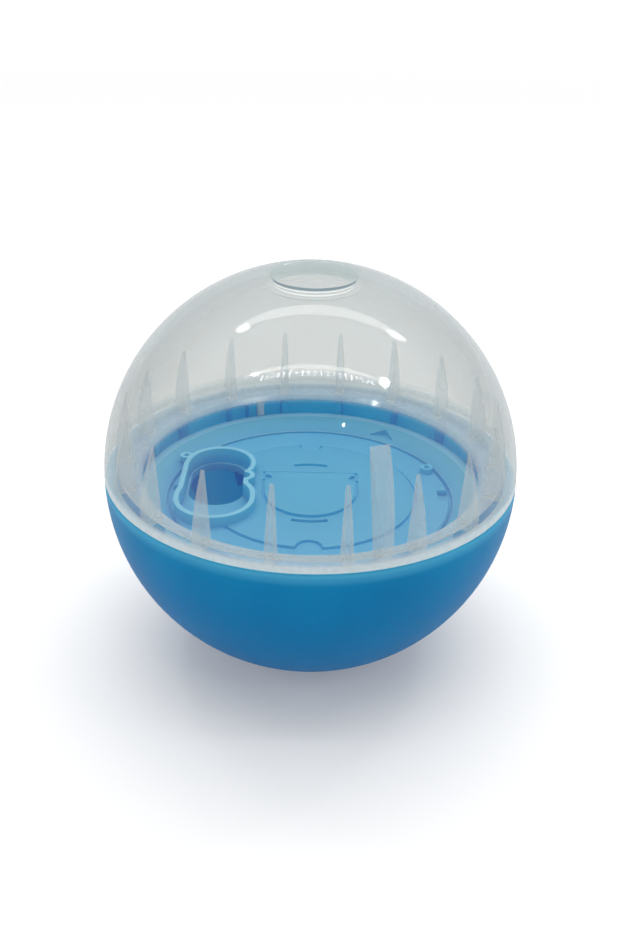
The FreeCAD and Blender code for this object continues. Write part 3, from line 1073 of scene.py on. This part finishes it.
@dataclass
class Studio:
    """Pale floor, soft light, ceiling strips and the camera at the photograph's angle."""

    lamps: Sequence[Lamp]
    camera_radii: float = 5.0
    elevation: float = 27.7
    roll: float = 1.16
    focal_px: float = 1011.0
    image_height_px: float = 931.0
    sensor: float = 36.0
    clip_start: float = 0.01
    floor_size: float = 3.0
    floor_colour: Colour = (0.62, 0.62, 0.62)
    floor_roughness: float = 0.9
    floor_glow: Range = (0.15, 0.6)
    glow_reach: Range = (0.5, 2.4)
    world_light: float = 0.88
    backdrop: float = 1.3
    clear_layers: int = 32

    def build(self) -> None:
        """Builds the stage."""
        self.floor()
        self.world()
        self.camera()
        for lamp in self.lamps:
            lamp.hang()
        bpy.context.scene.view_settings.view_transform = "Standard"
        bpy.context.scene.cycles.transparent_max_bounces = self.clear_layers

    def floor(self) -> None:
        """Plain pale floor under the ball, kept white in the distance by a faint glow."""
        mesh = bmesh.new()
        bmesh.ops.create_grid(mesh, x_segments=1, y_segments=1, size=self.floor_size)
        data = bpy.data.meshes.new("floor")
        mesh.to_mesh(data)
        mesh.free()
        floor = bpy.data.objects.new("floor", data)
        bpy.context.scene.collection.objects.link(floor)
        material, tree, output = node_tree("pale_floor")
        shader = tree.nodes.new("ShaderNodeBsdfPrincipled")
        shader.inputs["Base Color"].default_value = (*self.floor_colour, 1.0)
        shader.inputs["Roughness"].default_value = self.floor_roughness
        shader.inputs["Emission Color"].default_value = (1.0, 1.0, 1.0, 1.0)
        where = tree.nodes.new("ShaderNodeTexCoord")
        away = tree.nodes.new("ShaderNodeVectorMath")
        away.operation = "LENGTH"
        tree.links.new(where.outputs["Object"], away.inputs["Vector"])
        glow = ranged(tree, away.outputs["Value"], self.floor_glow, self.glow_reach)
        tree.links.new(glow, shader.inputs["Emission Strength"])
        tree.links.new(shader.outputs["BSDF"], output.inputs["Surface"])
        data.materials.append(material)

    def world(self) -> None:
        """Even white surroundings, a little whiter where they are seen directly."""
        world = bpy.data.worlds.new("studio")
        world.use_nodes = True
        tree = world.node_tree
        tree.nodes.clear()
        output = tree.nodes.new("ShaderNodeOutputWorld")
        sky = tree.nodes.new("ShaderNodeBackground")
        direct = tree.nodes.new("ShaderNodeLightPath").outputs["Is Camera Ray"]
        strength = ranged(tree, direct, (self.world_light, self.backdrop), UNIT)
        tree.links.new(strength, sky.inputs["Strength"])
        tree.links.new(sky.outputs["Background"], output.inputs["Surface"])
        bpy.context.scene.world = world

    def camera(self) -> None:
        """Camera aimed at the ball's centre from the photograph's place."""
        tilt = math.radians(self.elevation)
        back = Vector((0, -math.cos(tilt), math.sin(tilt)))
        data = bpy.data.cameras.new("camera")
        data.sensor_width = self.sensor
        data.lens = self.focal_px / self.image_height_px * self.sensor
        data.clip_start = self.clip_start
        camera = bpy.data.objects.new("camera", data)
        place = BALL.middle() + back * (self.camera_radii * BALL.radius * MM)
        spin = Matrix.Rotation(math.radians(self.roll), 4, "Z")
        camera.matrix_world = aimed(place, Vector((0, 0, 1))) @ spin
        bpy.context.scene.collection.objects.link(camera)
        bpy.context.scene.camera = camera


# Painted light: the outer blue turns lighter and greener towards the seam, a painted glow along the top
# of the bowl.
BOWL_BLUE = BluePlastic(
    "bowl_blue", light=(0.001, 0.235, 0.41), dark=(0.001, 0.22, 0.385), glow=(0.002, 0.48, 0.72),
    glow_share=0.56, roughness=(0.30, 0.36), skin=0.15, specular=0.16,
    painted_light_colour=(0.12, 0.54, 0.70), painted_light_heights=(-1.6, 0.7),
)
# Painted light: the inside and the bowl's ribs and sockets get far lighter copies of the bowl's blue,
# standing in for the light that reaches them, and turn lighter still towards the seam.
BOWL_INSIDE_PAINTED_LIGHT = BluePlastic(
    "bowl_inside_painted_light", light=(0.015, 0.64, 0.97), dark=(0.015, 0.61, 0.93), glow=(0.005, 0.78, 0.99),
    glow_share=0.5, roughness=(0.34, 0.42), skin=0.15, specular=0.15,
    painted_light_colour=(0.10, 0.79, 0.99), painted_light_heights=(-7.0, -2.0),
)
BOWL_RIB_PAINTED_LIGHT = BluePlastic(
    "bowl_rib_painted_light", light=(0.02, 0.64, 0.95), dark=(0.02, 0.61, 0.91), glow=(0.01, 0.76, 0.98),
    glow_share=0.5, roughness=(0.34, 0.42), skin=0.15, specular=0.15,
    painted_light_colour=(0.03, 0.70, 0.97), painted_light_heights=(-7.0, -2.0),
)
# Painted shading: the insert's blue turns greyer between 6.2 and 4 mm below the centre, a painted
# gradient up its walls.
INSERT_BLUE = BluePlastic(
    "insert_blue", light=(0.235, 0.69, 0.905), dark=(0.21, 0.65, 0.87), glow=(0.03, 0.72, 0.98),
    glow_share=0.48, roughness=(0.38, 0.46), skin=0.2, specular=0.4,
    painted_light_colour=(0.22, 0.70, 0.80), painted_light_heights=(-6.2, -4.0),
)
# Painted highlight: a lighter, shinier copy of the insert's blue for rounded edges and the crest.
INSERT_EDGE_PAINTED_HIGHLIGHT = BluePlastic(
    "insert_edge_painted_highlight", light=(0.46, 0.88, 0.97), dark=(0.42, 0.85, 0.95), glow=(0.15, 0.80, 0.98),
    glow_share=0.40, roughness=(0.34, 0.42), skin=0.1, specular=0.6,
    painted_light_colour=(0.36, 0.78, 0.95), painted_light_heights=(-6.2, -4.0),
)

DOME_CLEAR = ClearPlastic(
    "dome_clear", entering=(0.92, 0.92, 0.91), leaving=(0.64, 0.655, 0.635), grazing=0.83,
    milk=(0.70, 0.75, 0.76), haze=(0.0, 0.45), shine_range=(0.02, 0.4), gloss_roughness=0.05,
    corner_haze=0.75, corner_low=-0.7, corner_top=4.1, corner_fade=2.0,
)
DOME_INSIDE = ClearPlastic(
    "dome_inside", entering=(0.99, 0.99, 0.99), leaving=(0.99, 0.99, 0.99),
    milk=(0.86, 0.87, 0.86), haze=(0.0, 0.0), shine_range=(0.05, 0.05), gloss_roughness=0.06,
    corner_haze=0.67, corner_low=-1.2, corner_top=3.4, corner_fade=1.5,
)
DOME_LIP = ClearPlastic(
    "dome_lip", entering=(0.84, 0.88, 0.87), leaving=(0.90, 0.92, 0.92),
    milk=(0.92, 0.93, 0.93), haze=(0.05, 0.05), shine_range=(0.04, 0.3), gloss_roughness=0.10,
)
# Painted shade: a dark blue tint where sight leaves the edge under the lip, for the dark arc round the
# hole.
DOME_EDGE_PAINTED_SHADE = ClearPlastic(
    "dome_edge_painted_shade", entering=(0.78, 0.85, 0.85), leaving=(0.14, 0.26, 0.37),
    milk=(0.92, 0.93, 0.93), haze=(0.05, 0.05), shine_range=(0.02, 0.2), gloss_roughness=0.05,
)
# Painted highlight: the neck lets out more light than reaches it, most in two level strips, for the
# bright arcs under the hole.
DOME_NECK_PAINTED_HIGHLIGHT = ClearPlastic(
    "dome_neck_painted_highlight", entering=(0.76, 0.83, 0.83), leaving=(1.02, 1.02, 1.0),
    milk=(0.98, 0.98, 0.96), haze=(0.05, 0.15), shine_range=(0.03, 0.3), gloss_roughness=0.1,
    painted_highlight_bands=((37.05, 37.45), (37.75, 38.1)), painted_highlight_gain=0.62,
)
DOME_DENSE = ClearPlastic(
    "dome_dense", entering=(1.0, 1.0, 1.0), leaving=(1.0, 1.0, 1.0),
    milk=(0.92, 0.93, 0.92), haze=(0.24, 0.42), shine_range=(0.02, 0.3), gloss_roughness=0.10,
    corner_haze=0.6, corner_low=-4.6,
)
DOME_FINISHES = {
    DomeSkin.WALL: DOME_CLEAR,
    DomeSkin.INSIDE: DOME_INSIDE,
    DomeSkin.LIP: DOME_LIP,
    DomeSkin.EDGE: DOME_EDGE_PAINTED_SHADE,
    DomeSkin.NECK: DOME_NECK_PAINTED_HIGHLIGHT,
}

# Height of the lamps that the dome mirrors, in metres
CEILING = 0.60
MIRRORED_LAMPS = (
    Lamp("strip_back", place=(0.02, 0.27, CEILING), size=(0.78, 0.08), power=1.3),
    Lamp("strip_front", place=(0.03, -0.114, CEILING), size=(0.81, 0.024), power=0.5),
    Lamp("spot_left", place=(-0.312, 0.234, CEILING), size=(0.07, 0.06), power=0.24),
    Lamp("spot_right", place=(0.39, 0.264, CEILING), size=(0.11, 0.06), power=0.32),
    Lamp("front_spot", place=(0.21, -0.486, CEILING), size=(0.02, 0.02), power=0.16),
    Lamp("end_left", place=(-0.28, -0.114, CEILING), size=(0.05, 0.025), power=0.2,
         seen=Seen.ONLY_MIRRORED),
    Lamp("end_right", place=(0.38, -0.114, CEILING), size=(0.06, 0.07), power=0.6,
         seen=Seen.ONLY_MIRRORED),
)

# The row of small beads in the lower arc, each turned with its distance from the middle
BEAD_COUNT = 20
BEAD_START = -0.25
BEAD_STEP = 0.0293
BEAD_TURN = 2.0
BEAD_LAMPS = tuple(
    Lamp("bead", place=(x, -0.15, CEILING), size=(0.01, 0.034), power=0.025,
         seen=Seen.ONLY_MIRRORED, spin=BEAD_TURN * x)
    for x in (BEAD_START + BEAD_STEP * i for i in range(BEAD_COUNT))
)
SOFT_LAMPS = (
    Lamp("side_left", place=(-0.7, -0.4, 0.5), size=(0.5, 0.5), power=1.0, seen=Seen.NOT_MIRRORED),
    Lamp("side_right", place=(0.8, -0.1, 0.3), size=(0.5, 0.5), power=1.2, seen=Seen.NOT_MIRRORED),
    Lamp("overhead", place=(0.0, 0.3, 3.0), size=(4.0, 4.0), power=54.5, seen=Seen.NOT_MIRRORED),
)


def main() -> None:
    """Builds the stage and the four mouldings."""
    logging.basicConfig(level=logging.INFO)
    Studio(MIRRORED_LAMPS + BEAD_LAMPS + SOFT_LAMPS).build()
    Dome(DOME_FINISHES, DOME_DENSE).build()
    Bowl(BOWL_BLUE, BOWL_INSIDE_PAINTED_LIGHT, BOWL_RIB_PAINTED_LIGHT).build()
    Insert(Part.PARTITION, INSERT_BLUE, INSERT_EDGE_PAINTED_HIGHLIGHT, edge_round=0.25).build()
    Insert(Part.SELECTOR, INSERT_BLUE, INSERT_EDGE_PAINTED_HIGHLIGHT, edge_round=0.22).build()


if __name__ == "__main__":
    main()
